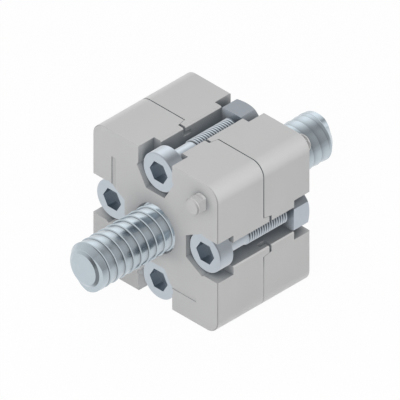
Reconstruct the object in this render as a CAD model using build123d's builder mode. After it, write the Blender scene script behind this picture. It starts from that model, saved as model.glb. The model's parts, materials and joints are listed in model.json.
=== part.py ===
"""Profile end connector: joins two 40 mm square aluminium profiles end to end.

Two identical cast halves meet at the parting plane. A core screw in each half runs into the core hole
of its profile, and four clamp screws with nuts pull the halves together.

Frame: the origin is on the core screws' axis, in the parting plane. +Y is depth, from the front end
face at negative Y to the rear one. +X is width and +Z is up. Sizes are in millimetres.
"""

import os
from math import cos, radians, tan

from build123d import *

os.makedirs("parts", exist_ok=True)

# Block of two halves
block_width = 40.0
half_depth = 14.8
corner_radius = 3.6
end_edge_bevel = 0.2
parting_relief = 0.15
parting_groove_depth = 0.6

# Clamp screw, M6 fine with a thin socket head
clamp_edge_distance = 5.1
clamp_thread_radius = 3.0
clamp_shank_radius = 2.7
clamp_screw_length = 25.0
clamp_plain_length = 7.0
clamp_point_chamfer = 0.5
clamp_head_radius = 5.0
clamp_head_height = 4.0
clamp_socket_flats = 5.0
clamp_socket_depth = 2.6

# Clamp nut, M6 fine
nut_flats = 10.0
nut_height = 5.0
nut_chamfer_angle = 30.0
nut_thread_clearance = 0.05

# Side slots, and the pockets at their outer ends that hold a head or a nut
slot_width = 6.5
slot_edge_chamfer = 0.3
pocket_depth = 5.1
pocket_flats_clearance = 0.2
pocket_mouth_width = 10.86

# Recesses and tongues that centre one half on the other
recess_width = 10.9
recess_depth = 2.5
recess_height = 2.5
flank_taper = 0.2
tongue_length = 1.8
tongue_height = 1.3
tongue_side_clearance = 0.1

# Core screw
core_crest_radius = 5.95
core_shoulder_radius = 6.33
core_screw_length = 30.0
core_head_radius = 8.5
core_head_height = 6.0
core_socket_flats = 8.0
core_socket_depth = 4.5
core_tip_radius = 3.9
core_bevel_radius = 4.75
core_bevel_length = 0.35

# Core screw's seat in the half
core_wall = 7.0
core_running_clearance = 0.07
core_head_clearance = 0.5

# Locating peg on the end face
peg_edge_distance = 5.0
peg_radius = 2.15
peg_length = 3.4
peg_flat_offset = 1.45
peg_round_tip = 0.6
peg_round_root = 0.85
peg_tip_chamfer = 0.3

# Shallow reliefs in the end face, beside two of the pockets
relief_edge_distance = 6.0
relief_end_distance = 7.0
relief_width = 1.4
relief_depth = 0.2

# Places that follow from the sizes above
clamp_offset = block_width / 2 - clamp_edge_distance
peg_offset = block_width / 2 - peg_edge_distance
relief_offset = block_width / 2 - relief_edge_distance
relief_length = block_width / 2 - relief_end_distance
pocket_floor = half_depth - pocket_depth
core_seat = half_depth - core_wall
pocket_flats = nut_flats + pocket_flats_clearance
slot_reach = clamp_edge_distance
end_face = Plane.XZ.offset(half_depth)
turn_over = Axis((0, 0, 0), (1, 0, 1))

# Side of the block, place of the screw's axis and turn of the nut about it
clamp_places = {
    "top": (0, clamp_offset, 0),
    "bottom": (0, -clamp_offset, 0),
    "left": (-clamp_offset, 0, 90),
    "right": (clamp_offset, 0, 90),
}


def keystone(root_width, length):
    """Corners of a face that stands on the parting plane and closes in by the flank taper."""
    root = root_width / 2
    tip = root - flank_taper * length
    return (0, -root), (length, -tip), (length, tip), (0, root)


# Cast half, with its end face to the front
with BuildPart() as front_half:
    with BuildSketch(Plane.XZ.offset(parting_relief)):
        RectangleRounded(block_width, block_width, corner_radius)
    extrude(amount=half_depth - parting_relief)
    chamfer(front_half.faces().sort_by(Axis.Y)[0].edges(), end_edge_bevel)

    # The outline steps in at the parting plane, so the closed joint shows as a fine dark groove
    lip_width = block_width - 2 * parting_groove_depth
    with BuildSketch(Plane.XZ):
        RectangleRounded(lip_width, lip_width, corner_radius - parting_groove_depth)
    extrude(amount=parting_relief)

    # Tongues at left and right, which enter the other half
    tongue_width = recess_width - 2 * tongue_side_clearance
    for side in (-1, 1):
        flank = Plane((side * block_width / 2, 0, 0), x_dir=(0, 1, 0), z_dir=(side, 0, 0))
        with BuildSketch(flank):
            Polygon(*keystone(tongue_width, tongue_length))
            Rectangle(parting_relief, tongue_width, align=(Align.MAX, Align.CENTER))
        extrude(amount=-tongue_height)

    # Recesses at top and bottom, for the other half's tongues
    for side in (-1, 1):
        flank = Plane((0, 0, side * block_width / 2), x_dir=(0, -1, 0), z_dir=(0, 0, side))
        with BuildSketch(flank):
            Polygon(*keystone(recess_width, recess_depth))
        extrude(amount=-recess_height, mode=Mode.SUBTRACT)

    # Side slots for the clamp screws, round at the bottom and bevelled along their outer edges
    slot_half = slot_width / 2
    bevel_foot = slot_reach - slot_edge_chamfer
    beyond = slot_reach + slot_edge_chamfer
    flare = slot_half + beyond - bevel_foot
    with BuildSketch(Plane.XZ.offset(-tongue_length)):
        with PolarLocations(clamp_offset, 4):
            Circle(slot_half)
            Polygon(
                (0, -slot_half),
                (bevel_foot, -slot_half),
                (beyond, -flare),
                (beyond, flare),
                (bevel_foot, slot_half),
                (0, slot_half),
            )
    extrude(amount=tongue_length + half_depth, mode=Mode.SUBTRACT)

    # Hexagon pockets with a flat to the outside and a mouth too narrow for the nut's corners
    with BuildSketch(end_face):
        with PolarLocations(clamp_offset, 4):
            RegularPolygon(pocket_flats / 2, 6, major_radius=False, rotation=30)
            Rectangle(slot_reach, pocket_mouth_width, align=(Align.MIN, Align.CENTER))
    extrude(amount=-pocket_depth, mode=Mode.SUBTRACT)

    # Bore for the core screw, with a counterbore for its head
    with Locations(Plane((0, 0, 0), x_dir=(1, 0, 0), z_dir=(0, 1, 0))):
        CounterBoreHole(
            core_shoulder_radius + core_running_clearance,
            core_head_radius + core_head_clearance,
            core_seat,
            depth=half_depth,
        )

    # Reliefs that run out of the left and bottom pockets, deep on the side away from the bore
    upright = Plane((-relief_offset, -half_depth, 0), x_dir=(1, 0, 0), z_dir=(0, 0, 1))
    level = Plane((relief_length, -half_depth, -relief_offset), x_dir=(0, 0, 1), z_dir=(-1, 0, 0))
    for start in (upright, level):
        with BuildSketch(start):
            Polygon((0, 0), (relief_width, 0), (0, relief_depth))
        extrude(amount=relief_length, mode=Mode.SUBTRACT)

    # Locating peg: two flats to the outside meet in a sharp edge behind the round tip, and the upper
    # one stops short of the end face, where the peg's round top stands on as a low collar
    flats_corner = peg_offset + peg_flat_offset
    with BuildSketch(end_face):
        with Locations((peg_offset, peg_offset)):
            Circle(peg_radius)
        with Locations((flats_corner, 0)):
            Rectangle(block_width, block_width * 2, align=(Align.MAX, Align.CENTER), mode=Mode.INTERSECT)
    extrude(amount=peg_round_root)
    with BuildSketch(end_face.offset(peg_round_root)):
        with Locations((peg_offset, peg_offset)):
            Circle(peg_radius)
        with Locations((flats_corner, flats_corner)):
            Rectangle(
                block_width, block_width, align=(Align.MAX, Align.MAX), mode=Mode.INTERSECT
            )
    extrude(amount=peg_length - peg_round_tip - peg_round_root)
    with BuildSketch(end_face.offset(peg_length - peg_round_tip)):
        with Locations((peg_offset, peg_offset)):
            Circle(peg_radius)
    extrude(amount=peg_round_tip)
    chamfer(front_half.edges().sort_by(Axis.Y)[0], peg_tip_chamfer)

front_half.part.label = "front_half"
export_step(front_half.part, "parts/front_half.step")

# The same casting turned over, so that its tongues enter the front half's recesses
with BuildPart() as rear_half:
    add(front_half.part.rotate(turn_over, 180))

rear_half.part.label = "rear_half"
export_step(rear_half.part, "parts/rear_half.step")

# Core screw: its head seats on the wall of the half, its shoulder runs in the bore
core_head_top = core_seat - core_head_height
core_tip = core_seat + core_screw_length
core_bevel_end = core_tip - core_bevel_length
core_thread_start = core_bevel_end - (core_crest_radius - core_bevel_radius)
with BuildPart() as front_core_screw:
    with BuildSketch(Plane.XY):
        Polygon(
            (0, -core_head_top),
            (core_head_radius, -core_head_top),
            (core_head_radius, -core_seat),
            (core_shoulder_radius, -core_seat),
            (core_shoulder_radius, -half_depth),
            (core_crest_radius, -half_depth),
            (core_crest_radius, -core_thread_start),
            (core_bevel_radius, -core_bevel_end),
            (core_tip_radius, -core_tip),
            (0, -core_tip),
        )
    revolve(axis=Axis.Y)
    with BuildSketch(Plane.XZ.offset(core_head_top)):
        RegularPolygon(core_socket_flats / 2, 6, major_radius=False)
    extrude(amount=core_socket_depth, mode=Mode.SUBTRACT)

front_core_screw.part.label = "front_core_screw"
export_step(front_core_screw.part, "parts/front_core_screw.step")

with BuildPart() as rear_core_screw:
    add(front_core_screw.part.rotate(turn_over, 180))

rear_core_screw.part.label = "rear_core_screw"
export_step(rear_core_screw.part, "parts/rear_core_screw.step")

# Clamp screw on the centre line: its head seats on the front half's pocket floor
clamp_head_face = pocket_floor + clamp_head_height
clamp_tip = clamp_screw_length - pocket_floor
clamp_thread_start = clamp_plain_length - pocket_floor
with BuildPart() as clamp_screw:
    with BuildSketch(Plane.XY):
        Polygon(
            (0, -clamp_head_face),
            (clamp_head_radius, -clamp_head_face),
            (clamp_head_radius, -pocket_floor),
            (clamp_shank_radius, -pocket_floor),
            (clamp_shank_radius, clamp_thread_start),
            (clamp_thread_radius, clamp_thread_start),
            (clamp_thread_radius, clamp_tip - clamp_point_chamfer),
            (clamp_thread_radius - clamp_point_chamfer, clamp_tip),
            (0, clamp_tip),
        )
    revolve(axis=Axis.Y)
    with BuildSketch(Plane.XZ.offset(clamp_head_face)):
        RegularPolygon(clamp_socket_flats / 2, 6, major_radius=False)
    extrude(amount=-clamp_socket_depth, mode=Mode.SUBTRACT)

# Clamp nut on the centre line: it seats on the rear half's pocket floor, flats above and below,
# and its outer corners are chamfered
nut_corner_radius = nut_flats / 2 / cos(radians(30))
nut_corner_drop = (nut_corner_radius - nut_flats / 2) * tan(radians(nut_chamfer_angle))
nut_back = pocket_floor + nut_height
with BuildPart() as clamp_nut:
    with BuildSketch(Plane.XZ.offset(-nut_back)):
        RegularPolygon(nut_flats / 2, 6, major_radius=False)
    extrude(amount=nut_height)
    with BuildSketch(Plane.XY):
        Polygon(
            (0, pocket_floor),
            (nut_corner_radius, pocket_floor),
            (nut_corner_radius, nut_back - nut_corner_drop),
            (nut_flats / 2, nut_back),
            (0, nut_back),
        )
    revolve(axis=Axis.Y, mode=Mode.INTERSECT)
    with BuildSketch(Plane.XZ.offset(-nut_back)):
        Circle(clamp_thread_radius + nut_thread_clearance)
    extrude(amount=nut_height, mode=Mode.SUBTRACT)

# One screw and one nut at each side of the block
for side, (x, z, nut_turn) in clamp_places.items():
    with BuildPart() as placed_screw:
        with Locations((x, 0, z)):
            add(clamp_screw.part)
    placed_screw.part.label = f"clamp_screw_{side}"
    export_step(placed_screw.part, f"parts/clamp_screw_{side}.step")

    with BuildPart() as placed_nut:
        with Locations(Location((x, 0, z), (0, nut_turn, 0))):
            add(clamp_nut.part)
    placed_nut.part.label = f"clamp_nut_{side}"
    export_step(placed_nut.part, f"parts/clamp_nut_{side}.step")
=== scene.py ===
"""Looks of the profile end connector: cast halves, threaded screws, nuts and the stage around them."""

import json
from math import ceil, cos, floor, pi, radians, sin

import bmesh
import bpy
from bpy.props import FloatProperty, FloatVectorProperty, PointerProperty
from mathutils import Matrix, Vector


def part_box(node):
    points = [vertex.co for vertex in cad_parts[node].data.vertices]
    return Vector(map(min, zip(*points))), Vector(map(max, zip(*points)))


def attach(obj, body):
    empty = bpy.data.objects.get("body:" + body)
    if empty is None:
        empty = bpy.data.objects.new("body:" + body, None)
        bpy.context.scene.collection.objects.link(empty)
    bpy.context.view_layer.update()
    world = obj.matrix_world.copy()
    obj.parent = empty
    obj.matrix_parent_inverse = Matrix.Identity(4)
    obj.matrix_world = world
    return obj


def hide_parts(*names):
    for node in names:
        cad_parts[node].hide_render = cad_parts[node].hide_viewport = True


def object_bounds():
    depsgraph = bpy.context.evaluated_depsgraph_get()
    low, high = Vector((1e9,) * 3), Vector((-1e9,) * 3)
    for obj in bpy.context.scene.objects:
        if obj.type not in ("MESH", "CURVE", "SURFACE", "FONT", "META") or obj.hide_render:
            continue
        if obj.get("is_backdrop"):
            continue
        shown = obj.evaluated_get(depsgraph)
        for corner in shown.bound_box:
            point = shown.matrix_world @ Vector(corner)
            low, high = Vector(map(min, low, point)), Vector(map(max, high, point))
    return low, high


bl_info = {
    "name": "Profile end connector",
    "version": (1, 0, 0),
    "blender": (4, 5, 0),
    "location": "3D View > Sidebar > Connector",
    "description": "Threads, finishes and stage of a split connector for square aluminium profiles",
    "category": "Object",
}

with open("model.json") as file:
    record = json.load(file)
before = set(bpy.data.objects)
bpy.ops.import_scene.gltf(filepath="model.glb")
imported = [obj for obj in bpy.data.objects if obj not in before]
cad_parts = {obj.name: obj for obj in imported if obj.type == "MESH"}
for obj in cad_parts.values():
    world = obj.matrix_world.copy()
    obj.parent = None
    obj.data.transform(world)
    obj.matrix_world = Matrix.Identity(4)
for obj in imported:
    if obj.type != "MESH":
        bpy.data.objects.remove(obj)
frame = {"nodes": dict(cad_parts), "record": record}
cad_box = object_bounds()
front_stud = next(mount for mount in frame["record"]["mounts"] if mount["name"] == "front_stud")
thread_radius = front_stud["dims"]["r_mm"] / 1000
core_low, core_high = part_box("front_core_screw")
clamp_low, clamp_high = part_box("clamp_screw_top")

SIDES = ("top", "right", "bottom", "left")
X, Y, Z = (1, 0, 0), (0, 1, 0), (0, 0, 1)
WHITE, BLACK = (1, 1, 1, 1), (0, 0, 0, 1)


def length(name, description, default):
    """Size in metres that a user would change."""
    return FloatProperty(
        name=name, description=description, default=default, min=0, precision=5, unit="LENGTH"
    )


def rotation(name, description, degrees):
    """Angle that a user would change."""
    return FloatProperty(name=name, description=description, default=radians(degrees), unit="ROTATION")


def colour(name, description, default):
    """Colour that a user would change."""
    return FloatVectorProperty(
        name=name, description=description, default=default, size=4, min=0, max=1, subtype="COLOR"
    )


class CoreScrewSizes(bpy.types.PropertyGroup):
    """Sizes of the two core screws"""

    crest: length("Crest radius", "Radius over the core screw's thread", thread_radius)
    pitch: length("Pitch", "Advance of the core screw's thread in one turn", 0.0025)
    ridge_fall: length("Ridge fall", "How far a ridge falls towards the groove behind it", 0.000352)
    groove_width: length("Groove width", "Width of the thread's narrow groove", 0.0002)
    groove_depth: length("Groove depth", "Depth of the thread's groove", 0.0005)
    shoulder: length("Shoulder radius", "Radius of the plain shoulder in the bore", 0.00633)
    shoulder_length: length("Shoulder length", "Length of the shoulder behind the thread", 0.004)
    head_height: length("Head height", "Height of the head behind the wall", 0.006)
    head_chamfer: length("Head chamfer", "Chamfer round the top of the head", 0.0004)
    socket_flats: length("Socket flats", "Width of the hexagon socket across its flats", 0.008)
    socket_depth: length("Socket depth", "Depth of the hexagon socket", 0.0045)
    tip_radius: length("Tip radius", "Radius of the flat tip", 0.0039)
    bevel_radius: length("Bevel radius", "Radius of the tip in front of the thread", 0.00462)
    bevel_length: length("Bevel length", "Length of the tip's slope", 0.00048)
    lead_length: length("Lead length", "Length of the tip up to the full thread", 0.0019)
    entry: rotation("Entry", "Turn at which the thread's first ridge stands highest", -30)
    front_start: rotation("Front start", "Turn of the front screw's groove", 14)
    rear_start: rotation("Rear start", "Turn of the rear screw's groove", 66)


class ClampScrewSizes(bpy.types.PropertyGroup):
    """Sizes of the four clamp screws"""

    thread: length("Thread radius", "Radius over the clamp screw's thread", 0.003)
    pitch: length("Pitch", "Advance of the clamp screw's thread in one turn", 0.00075)
    depth: length("Thread depth", "Depth of the clamp screw's thread", 0.00036)
    shank: length("Shank radius", "Radius of the plain shank", 0.0027)
    shank_length: length("Shank length", "Length of the plain shank", 0.007)
    head_height: length("Head height", "Height of the head", 0.004)
    head_chamfer: length("Head chamfer", "Chamfer round the face of the head", 0.0002)
    socket_flats: length("Socket flats", "Width of the hexagon socket across its flats", 0.005)
    socket_depth: length("Socket depth", "Depth of the hexagon socket", 0.0026)
    point_chamfer: length("Point chamfer", "Chamfer at the screw's point", 0.0005)


class FinishColours(bpy.types.PropertyGroup):
    """Colours of the metals"""

    cast: colour("Casting", "Colour of the cast halves", (0.52, 0.52, 0.52, 1))
    # Painted shade colour that the castings take where they are crowded.
    recess: colour("Recess", "Colour of the castings' shaded recesses", (0.12, 0.135, 0.15, 1))
    core: colour("Core screw", "Colour of the core screws' zinc", (0.51, 0.58, 0.63, 1))
    clamp: colour("Clamp screw", "Colour of the clamp screws' zinc", (0.52, 0.57, 0.62, 1))
    nut: colour("Nut", "Colour of the nuts' zinc", (0.56, 0.61, 0.67, 1))
    grain: length("Casting grain", "Size of the grain in the cast surface", 0.0004)


class StageSettings(bpy.types.PropertyGroup):
    """Floor, light and camera"""

    floor: colour("Floor", "Colour of the floor", (0.9, 0.9, 0.9, 1))
    azimuth: rotation("Azimuth", "Camera's turn about the part", 45)
    elevation: rotation("Elevation", "Camera's height angle", 35.264)
    width: length("View width", "Width that the camera sees", 0.0906)
    sky: FloatProperty(
        name="Sky", description="Level of the light from all round", default=0.60, min=0, subtype="FACTOR"
    )
    key: FloatProperty(
        name="Key light", description="Power of the key light", default=2.75, min=0, unit="POWER"
    )
    key_size: length("Key size", "Width of the key light", 0.5)


class Term:
    """A shader socket in a Python expression: each operator adds a Math node."""

    def __init__(self, graph, socket):
        self.graph = graph
        self.socket = socket

    def math(self, operation, *values):
        return self.graph.add("ShaderNodeMath", {"operation": operation}, dict(enumerate(values)))

    def __add__(self, other):
        return self.math("ADD", self, other)

    def __radd__(self, other):
        return self.math("ADD", other, self)

    def __sub__(self, other):
        return self.math("SUBTRACT", self, other)

    def __rsub__(self, other):
        return self.math("SUBTRACT", other, self)

    def __mul__(self, other):
        return self.math("MULTIPLY", self, other)

    def __rmul__(self, other):
        return self.math("MULTIPLY", other, self)

    def __pow__(self, other):
        return self.math("POWER", self, other)

    def above(self, other):
        """The larger of the two."""
        return self.math("MAXIMUM", self, other)

    def ramp(self, start, slope):
        """Rises with the slope from 0 at the start up to 1."""
        return self.math("MINIMUM", ((self - start) * slope).above(0.0), 1.0)

    def size(self):
        """The value without its sign."""
        return self.math("ABSOLUTE", self)


class Graph:
    """The nodes of one material or of the world."""

    def __init__(self, tree):
        self.tree = tree
        tree.nodes.clear()

    def add(self, kind, settings=None, values=None, output=0):
        """Adds a node and gives one of its outputs, or the node where it has none."""
        node = self.tree.nodes.new(kind)
        for name, value in (settings or {}).items():
            setattr(node, name, value)
        for key, value in (values or {}).items():
            if isinstance(value, Term):
                self.tree.links.new(value.socket, node.inputs[key])
            else:
                node.inputs[key].default_value = value
        return Term(self, node.outputs[output]) if node.outputs else node

    def place(self):
        return self.add("ShaderNodeTexCoord", output="Object")

    def normal(self):
        return self.add("ShaderNodeNewGeometry", output="Normal")

    def along(self, vector, direction):
        """Share of a vector that points in a direction."""
        settings = {"operation": "DOT_PRODUCT"}
        values = {0: vector, 1: tuple(Vector(direction).normalized())}
        return self.add("ShaderNodeVectorMath", settings, values, "Value")

    def noise(self, scale, detail=2.0):
        values = {"Vector": self.place(), "Scale": scale, "Detail": detail}
        return self.add("ShaderNodeTexNoise", None, values, "Fac")

    def crowded(self, distance, own_only=False):
        """Share of the view from a surface that is blocked within a distance."""
        settings = {"samples": 8, "only_local": own_only}
        return 1 - self.add("ShaderNodeAmbientOcclusion", settings, {"Distance": distance}, "AO")

    def blend(self, factor, first, second):
        """Colour between two colours."""
        settings = {"data_type": "RGBA"}
        return self.add("ShaderNodeMix", settings, {0: factor, 6: first, 7: second}, 2)

    def bump(self, height, strength, distance):
        """Normal of a surface that rises and falls with the height."""
        values = {"Strength": strength, "Distance": distance, "Height": height}
        return self.add("ShaderNodeBump", None, values)

    def metal(self, **values):
        """Ends a material with a metal surface. Each value is named as its socket."""
        sockets = {name.replace("_", " "): value for name, value in values.items()}
        shader = self.add("ShaderNodeBsdfPrincipled", None, sockets)
        self.add("ShaderNodeOutputMaterial", None, {"Surface": shader})


def shade(value, share):
    """The same colour, lighter or darker."""
    return tuple(part * share for part in value[:3]) + (1,)


def new_finish(name):
    """A material and its empty graph."""
    material = bpy.data.materials.new(name)
    material.use_nodes = True
    return material, Graph(material.node_tree)


def add_object(name, data):
    """Puts a new object into the scene."""
    piece = bpy.data.objects.new(name, data)
    bpy.context.scene.collection.objects.link(piece)
    return piece


def cast_finish(colours):
    """Die-cast aluminium: matt grey with fine grain and faint clouds, with painted shade where it is
    crowded.

    As in the photograph, the rounded edges that run along the part carry a painted highlight, lighter
    than its faces, and the upright ones a painted shade, darker.
    """
    material, graph = new_finish("cast_aluminium")
    grain = graph.noise(1 / colours.grain, 3)
    tone = graph.blend(graph.noise(90), shade(colours.cast, 0.96), shade(colours.cast, 1.04))

    normal = graph.normal()
    across, ahead, upwards = (graph.along(normal, axis).size() for axis in (X, Y, Z))
    # Painted highlight on the rounded edges along the part and painted shade on the upright edges, set by
    # the normal's direction.
    painted_edge_highlight = graph.blend((across * upwards).ramp(0, 2), tone, shade(colours.cast, 1.3))
    painted_edge_shade = graph.blend((across * ahead).ramp(0, 2), painted_edge_highlight, shade(colours.cast, 0.6))

    # Painted shade where the casting's own walls or other pieces crowd it.
    # As in the photograph, the floor doesn't darken the walls, and the pegs stay light.
    off_floor = graph.along(graph.place(), Z).ramp(-0.010, 200)
    off_pegs = graph.along(graph.place(), Y).size().ramp(0.0151, -5000)
    hollow_shade = graph.crowded(0.008, own_only=True).ramp(0.3, 1.5)
    beside_shade = (graph.crowded(0.009) * off_floor).ramp(0.1, 1.5)
    graph.metal(
        Base_Color=graph.blend(hollow_shade.above(beside_shade) * off_pegs, painted_edge_shade, colours.recess),
        Metallic=0.15,
        Roughness=0.42 + grain * 0.12,
        Normal=graph.bump(grain, strength=0.25, distance=0.00002),
    )
    return material


def zinc_finish(name, tint, roughness, painted_shade):
    """Zinc plate: bluish metal with faint clouds in its shine, and painted shade where the function says.
    """
    material, graph = new_finish(name)
    cloud = graph.noise(700)
    plate = graph.blend(cloud, shade(tint, 0.95), shade(tint, 1.05))
    graph.metal(
        Base_Color=graph.blend(painted_shade(graph), plate, shade(tint, 0.15)),
        Metallic=1.0,
        Roughness=roughness - 0.04 + cloud * 0.08,
        Normal=graph.bump(graph.noise(3500), strength=0.08, distance=0.00001),
    )
    return material


def painted_groove_shade(power):
    """Painted shade that grows with the depth in a thread and in a socket. A high power leaves the flanks
    bright.
    """
    depth = {"attribute_name": "depth"}
    return lambda graph: graph.add("ShaderNodeAttribute", depth, output="Fac") ** power


def painted_nut_shade(graph):
    """Painted shade where other pieces stand close in front, and painted shade on the level flats."""
    level = graph.along(graph.normal(), Z).size().ramp(2 / 3, 3)
    return graph.crowded(0.006).ramp(0.125, 1.6).above(level * 0.62)


def coat(node, material):
    """Gives a CAD node its finish. No metal mirrors it, as in the photograph."""
    piece = frame["nodes"][node]
    piece.data.materials.clear()
    piece.data.materials.append(material)
    piece.visible_glossy = False


class Turning:
    """A turned piece about the Y axis, grown ring by ring and closed by merging.

    The depth at each corner paints shade into the finish: 0 on open surfaces and 1 at the root of a
    thread.
    """

    # Depths that paint a little shade into the socket's floor and walls.
    socket_floor_depth = 0.05
    socket_wall_depth = 0.03
    socket_rim = 0.0001
    end_margin = 1e-6
    merge_distance = 2e-7
    sliver = 1e-7
    sharp_angle = radians(14)

    def __init__(self, columns):
        self.columns = columns
        self.mesh = bmesh.new()
        self.depth = self.mesh.verts.layers.float.new("depth")
        self.last = None

    def ring(self, radius, height, depth=0.0):
        """Adds a ring and joins it to the last one.

        The height may be a function of the angle, and the radius and the depth functions of angle
        and height.
        """
        verts = []
        for column in range(self.columns + 1):
            angle = 2 * pi * column / self.columns
            y = height(angle) if callable(height) else height
            r = radius(angle, y) if callable(radius) else radius
            verts.append(self.mesh.verts.new((r * cos(angle), y, r * sin(angle))))
            verts[-1][self.depth] = depth(angle, y) if callable(depth) else depth
        if self.last:
            for column in range(self.columns):
                corners = self.last[column], self.last[column + 1], verts[column + 1], verts[column]
                self.mesh.faces.new(corners)
        self.last = verts

    def hexagon(self, flats, height, depth=0.0):
        """Adds a hexagonal ring with a corner at each end of X."""
        self.ring(lambda angle, y: flats / 2 / cos(angle % (pi / 3) - pi / 6), height, depth)

    def socket_head(self, sizes, radius, face, inward):
        """Makes a head with a hexagon socket and a chamfer. Inward is the way into it, 1 or -1."""
        bottom = face + inward * sizes.socket_depth
        self.hexagon(sizes.socket_flats, bottom, self.socket_floor_depth)
        edge = self.last
        self.close(bottom)
        self.last = edge
        self.hexagon(sizes.socket_flats, face + inward * self.socket_rim, self.socket_wall_depth)
        self.hexagon(sizes.socket_flats, face)
        self.ring(radius - sizes.head_chamfer, face)
        self.ring(radius, face + inward * sizes.head_chamfer)
        self.ring(radius, face + inward * sizes.head_height)

    def thread(self, first, last, pitch, profile, limit, start=0.0):
        """Adds a right-hand thread from one height to another.

        The profile lists steps along the pitch and their radii. The limit gives the largest radius
        at an angle and height, where a thread runs out. The start turns the groove about the axis.
        """
        rising = first < last
        low, high = min(first, last), max(first, last)
        steps = [step for step, radius in profile]
        radii = [radius for step, radius in profile]
        root, crest = min(radii), max(radii)

        def lead(angle):
            return -pitch * (angle - start) / (2 * pi)

        def shape(angle, y):
            phase = (y - lead(angle)) / pitch % 1.0
            index = next((i for i, step in enumerate(steps) if i and phase <= step), len(steps) - 1)
            share = (phase - steps[index - 1]) / (steps[index] - steps[index - 1])
            return radii[index - 1] + share * (radii[index] - radii[index - 1])

        def radius(angle, y):
            return min(shape(angle, y), limit(angle, y))

        def depth(angle, y):
            inside = low + self.end_margin < y < high - self.end_margin
            return (crest - shape(angle, y)) / (crest - root) if inside else 0.0

        bottom = floor((low - lead(0)) / pitch) - 1
        ceiling = ceil((high - lead(2 * pi)) / pitch) + 1
        levels = [turn + step for turn in range(bottom, ceiling) for step in steps[:-1]]
        if not rising:
            levels.reverse()
        self.ring(radius, first, depth)
        for level in levels:
            self.ring(radius, lambda angle: min(high, max(low, lead(angle) + level * pitch)), depth)
        self.ring(radius, last, depth)

    def close(self, height):
        """Closes the last ring at the axis."""
        tip = self.mesh.verts.new((0, height, 0))
        tip[self.depth] = self.last[0][self.depth]
        for column in range(self.columns):
            self.mesh.faces.new((self.last[column], self.last[column + 1], tip))
        self.last = None

    def finish(self, name, place, material):
        """Turns the mesh into an object with crisp edges, moved to its place."""
        bmesh.ops.remove_doubles(self.mesh, verts=self.mesh.verts, dist=self.merge_distance)
        bmesh.ops.dissolve_degenerate(self.mesh, edges=self.mesh.edges, dist=self.sliver)
        bmesh.ops.recalc_face_normals(self.mesh, faces=self.mesh.faces)
        bmesh.ops.transform(self.mesh, matrix=place, verts=self.mesh.verts)
        data = bpy.data.meshes.new(name)
        self.mesh.to_mesh(data)
        self.mesh.free()
        data.shade_smooth()
        data.set_sharp_from_angle(angle=self.sharp_angle)
        data.materials.append(material)
        return add_object(name, data)


def stand_for(piece, node, body):
    """Puts a piece in a CAD node's place."""
    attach(piece, body)
    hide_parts(node)


def core_screw(sizes, start, name, place, material):
    """Screw that cuts its coarse thread into the profile's core hole. It points to the front."""
    top, tip = core_high.y, core_low.y
    neck = top - sizes.head_height - sizes.shoulder_length
    bevel = tip + sizes.bevel_length
    full = tip + sizes.lead_length
    groove = sizes.groove_width / sizes.pitch
    root = sizes.crest - sizes.groove_depth
    wall, crest_end, drop = 0.02, 0.05, 0.002
    profile = [
        (0.0, root),
        (wall, sizes.crest),
        (crest_end, sizes.crest),
        (1 - groove, sizes.crest - sizes.ridge_fall),
        (1 + drop - groove, root),
        (1.0, root),
    ]
    first_ridge = sizes.crest - 0.0001
    least_rise, steepness = 0.1, 1.6

    def brink(angle, y):
        """Radius at the front edge of the first ridge, which rises where the thread begins."""
        rise = min(1, max(least_rise, steepness * cos(angle - sizes.entry)))
        return sizes.bevel_radius + (first_ridge - sizes.bevel_radius) * rise

    screw = Turning(columns=120)
    screw.socket_head(sizes, core_high.x, top, inward=-1)
    screw.ring(sizes.shoulder, top - sizes.head_height)
    screw.ring(sizes.shoulder, neck)
    screw.thread(neck, full, sizes.pitch, profile, lambda angle, y: sizes.crest, start)
    screw.ring(sizes.crest, full)
    screw.ring(brink, bevel)
    screw.ring(sizes.bevel_radius, bevel)
    screw.ring(sizes.tip_radius, tip)
    screw.close(tip)
    return screw.finish(name, place, material)


def clamp_screw(sizes, name, place, material):
    """Screw with a socket head and a metric thread. Its head is at the front."""
    face, tip = clamp_low.y, clamp_high.y
    seat = face + sizes.head_height
    run_out = seat + sizes.shank_length
    chamfer = sizes.point_chamfer
    root = sizes.thread - sizes.depth
    root_end, crest_start, crest_end = 0.1, 0.36, 0.74
    profile = [
        (0.0, root),
        (root_end, root),
        (crest_start, sizes.thread),
        (crest_end, sizes.thread),
        (1.0, root),
    ]

    def limit(angle, y):
        """Radius at which the thread runs out into the shank and at the point."""
        return min(sizes.thread, sizes.shank + y - run_out, sizes.thread - chamfer + tip - y)

    screw = Turning(columns=72)
    screw.socket_head(sizes, (clamp_high.x - clamp_low.x) / 2, face, inward=1)
    screw.ring(sizes.shank, seat)
    screw.ring(sizes.shank, run_out)
    screw.thread(run_out, tip - chamfer, sizes.pitch, profile, limit)
    screw.thread(tip - chamfer, tip, sizes.pitch, profile, limit)
    screw.close(tip)
    return screw.finish(name, place, material)


class CONNECTOR_OT_cast_halves(bpy.types.Operator):
    """Gives both cast halves their finish"""

    bl_idname = "connector.cast_halves"
    bl_label = "Cast halves"

    def execute(self, context):
        material = cast_finish(context.scene.connector_finish)
        for node in ("front_half", "rear_half"):
            coat(node, material)
        return {"FINISHED"}


class CONNECTOR_OT_core_screws(bpy.types.Operator):
    """Makes the two core screws with their coarse thread"""

    bl_idname = "connector.core_screws"
    bl_label = "Core screws"

    def execute(self, context):
        sizes = context.scene.connector_core_screw
        tint = context.scene.connector_finish.core
        material = zinc_finish("core_screw_zinc", tint, roughness=0.22, painted_shade=painted_groove_shade(2.5))
        turned_over = Matrix(((0, 0, 1, 0), (0, -1, 0, 0), (1, 0, 0, 0), (0, 0, 0, 1)))
        places = (("front", sizes.front_start, Matrix()), ("rear", sizes.rear_start, turned_over))
        for end, start, place in places:
            node = f"{end}_core_screw"
            piece = core_screw(sizes, start, f"{node}_threaded", place, material)
            stand_for(piece, node, node)
            # As in the photograph, no other metal mirrors it.
            piece.visible_glossy = False
        return {"FINISHED"}


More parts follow.
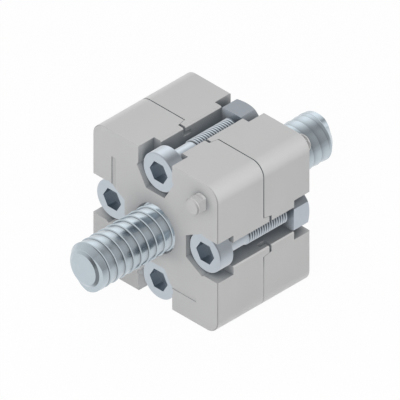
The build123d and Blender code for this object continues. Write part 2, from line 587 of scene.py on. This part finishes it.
class CONNECTOR_OT_clamp_screws(bpy.types.Operator):
    """Makes the four clamp screws with their metric thread"""

    bl_idname = "connector.clamp_screws"
    bl_label = "Clamp screws"

    def execute(self, context):
        sizes = context.scene.connector_clamp_screw
        tint = context.scene.connector_finish.clamp
        material = zinc_finish("clamp_screw_zinc", tint, roughness=0.3, painted_shade=painted_groove_shade(1.1))
        for side in SIDES:
            node = f"clamp_screw_{side}"
            low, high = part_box(node)
            place = Matrix.Translation(((low.x + high.x) / 2, 0, (low.z + high.z) / 2))
            piece = clamp_screw(sizes, f"{node}_threaded", place, material)
            stand_for(piece, node, node)
        return {"FINISHED"}


class CONNECTOR_OT_clamp_nuts(bpy.types.Operator):
    """Gives the four nuts their finish"""

    bl_idname = "connector.clamp_nuts"
    bl_label = "Clamp nuts"

    def execute(self, context):
        tint = context.scene.connector_finish.nut
        material = zinc_finish("clamp_nut_zinc", tint, roughness=0.34, painted_shade=painted_nut_shade)
        for side in SIDES:
            coat(f"clamp_nut_{side}", material)
        return {"FINISHED"}


class CONNECTOR_OT_stage(bpy.types.Operator):
    """Makes the floor, the light and the camera"""

    bl_idname = "connector.stage"
    bl_label = "Stage"

    def execute(self, context):
        stage = context.scene.connector_stage
        self.floor(stage)
        self.sky(stage)
        self.key(stage)
        self.camera(stage)
        context.scene.view_settings.view_transform = "Standard"
        return {"FINISHED"}

    def floor(self, stage):
        """Wide pale floor under the part, which shows nearly white and keeps a faint shadow.

        In the mirror images of the metal it is darker to the right, and more so at the front screw.
        """
        reach = 2
        data = bpy.data.meshes.new("floor")
        corners = [(-reach, -reach, 0), (reach, -reach, 0), (reach, reach, 0), (-reach, reach, 0)]
        data.from_pydata(corners, [], [(0, 1, 2, 3)])
        floor_piece = add_object("floor", data)
        floor_piece.location.z = cad_box[0].z
        floor_piece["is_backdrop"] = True

        material, graph = new_finish("floor_paper")
        place = graph.place()
        right = graph.along(place, (1, 0, 0))
        front = graph.along(place, (0, -1, 0))
        # Painted dark reflections: glossy rays see the floor darker near the front screw and to the
        # right.
        at_screw = right.ramp(-0.010, 70) * front.ramp(0.037, 200) * 0.7
        at_right = right.ramp(0.015, 14) * 0.42
        mirrored = graph.add("ShaderNodeLightPath", output="Is Glossy Ray")
        tone = graph.blend(mirrored * at_screw.above(at_right), WHITE, BLACK)
        paper = graph.add("ShaderNodeBsdfDiffuse", None, {"Color": stage.floor})
        glow = graph.add("ShaderNodeEmission", None, {"Color": tone, "Strength": 1.0})
        seen = self.seen(graph, mirrored=0.9)
        mixed = graph.add("ShaderNodeMixShader", None, {0: seen, 1: paper, 2: glow})
        graph.add("ShaderNodeOutputMaterial", None, {"Surface": mixed})
        data.materials.append(material)

    def seen(self, graph, mirrored):
        """Share of plain white in rays that show the background straight, in metal or through glass."""
        plain = 0.95
        straight = graph.add("ShaderNodeLightPath", output="Is Camera Ray")
        glossy = graph.add("ShaderNodeLightPath", output="Is Glossy Ray")
        through = graph.add("ShaderNodeLightPath", output="Is Transmission Ray")
        return (straight * plain).above(glossy * mirrored).above(through * plain)

    def sky(self, stage):
        """Soft light from all round, with brighter and darker parts that the metal mirrors."""
        world = bpy.data.worlds.new("studio")
        bpy.context.scene.world = world
        world.use_nodes = True
        graph = Graph(world.node_tree)
        towards = graph.add("ShaderNodeTexCoord", output="Generated")
        fall_to_right, darkest = 0.25, 0.05
        # Direction, sharpness and strength of each brighter or darker part.
        lobes = (
            ((-0.60, 0.58, 0.52), 9.0, 0.72),
            ((0.21, 0.58, 0.79), 24.0, -0.42),
            ((0.12, -0.97, 0.20), 12.0, -0.75),
            ((0.18, 0.97, 0.18), 20.0, 0.70),
        )
        level = stage.sky - graph.along(towards, X) * fall_to_right
        for direction, sharpness, strength in lobes:
            level += graph.along(towards, direction).above(0.0) ** sharpness * strength
        seen = self.seen(graph, mirrored=0.15)
        values = {"Color": WHITE, "Strength": level.above(darkest) * (1 - seen) + seen}
        background = graph.add("ShaderNodeBackground", None, values)
        graph.add("ShaderNodeOutputWorld", None, {"Surface": background})

    def key(self, stage):
        """Large soft lamp at the front right, near the camera's direction. No metal mirrors it."""
        lamp = bpy.data.lights.new("key", "AREA")
        lamp.energy = stage.key
        lamp.size = stage.key_size
        spot = Vector((0.36, -0.41, 0.37))
        piece = add_object("key", lamp)
        piece.location = spot
        piece.rotation_euler = spot.to_track_quat("Z", "Y").to_euler()
        piece.visible_glossy = False

    def camera(self, stage):
        """Parallel view from above the front right corner, as in the photograph."""
        turn, rise = stage.azimuth, stage.elevation
        right = Vector((cos(turn), sin(turn), 0))
        back = Vector((sin(turn) * cos(rise), -cos(turn) * cos(rise), sin(rise)))
        up = back.cross(right)
        lens = bpy.data.cameras.new("camera")
        lens.type = "ORTHO"
        lens.ortho_scale = stage.width
        lens.clip_start = 0.01
        lens.clip_end = 5
        distance = 0.6
        aim = up * 0.00036 - right * 0.00032
        axes = Matrix((right, up, back)).transposed()
        piece = add_object("camera", lens)
        piece.matrix_world = Matrix.Translation(aim + back * distance) @ axes.to_4x4()
        bpy.context.scene.camera = piece


class CONNECTOR_PT_sidebar(bpy.types.Panel):
    """The connector's pieces and their sizes"""

    bl_idname = "CONNECTOR_PT_sidebar"
    bl_label = "Profile end connector"
    bl_space_type = "VIEW_3D"
    bl_region_type = "UI"
    bl_category = "Connector"

    def draw(self, context):
        for operator in operators:
            self.layout.operator(operator.bl_idname)
        for name in settings:
            group = getattr(context.scene, name)
            box = self.layout.box()
            for prop in group.bl_rna.properties:
                if prop.identifier in group.__annotations__:
                    box.prop(group, prop.identifier)


operators = (
    CONNECTOR_OT_stage,
    CONNECTOR_OT_cast_halves,
    CONNECTOR_OT_core_screws,
    CONNECTOR_OT_clamp_screws,
    CONNECTOR_OT_clamp_nuts,
)
settings = {
    "connector_core_screw": CoreScrewSizes,
    "connector_clamp_screw": ClampScrewSizes,
    "connector_finish": FinishColours,
    "connector_stage": StageSettings,
}
classes = (*settings.values(), *operators, CONNECTOR_PT_sidebar)


def register():
    for item in classes:
        bpy.utils.register_class(item)
    for name, group in settings.items():
        setattr(bpy.types.Scene, name, PointerProperty(type=group))


def unregister():
    for name in settings:
        delattr(bpy.types.Scene, name)
    for item in reversed(classes):
        bpy.utils.unregister_class(item)


def main():
    register()
    bpy.ops.connector.stage()
    bpy.ops.connector.cast_halves()
    bpy.ops.connector.core_screws()
    bpy.ops.connector.clamp_screws()
    bpy.ops.connector.clamp_nuts()
    boxes = {"cad": cad_box, "visual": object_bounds()}
    lists = {name: [list(corner) for corner in box] for name, box in boxes.items()}


if __name__ == "__main__":
    main()
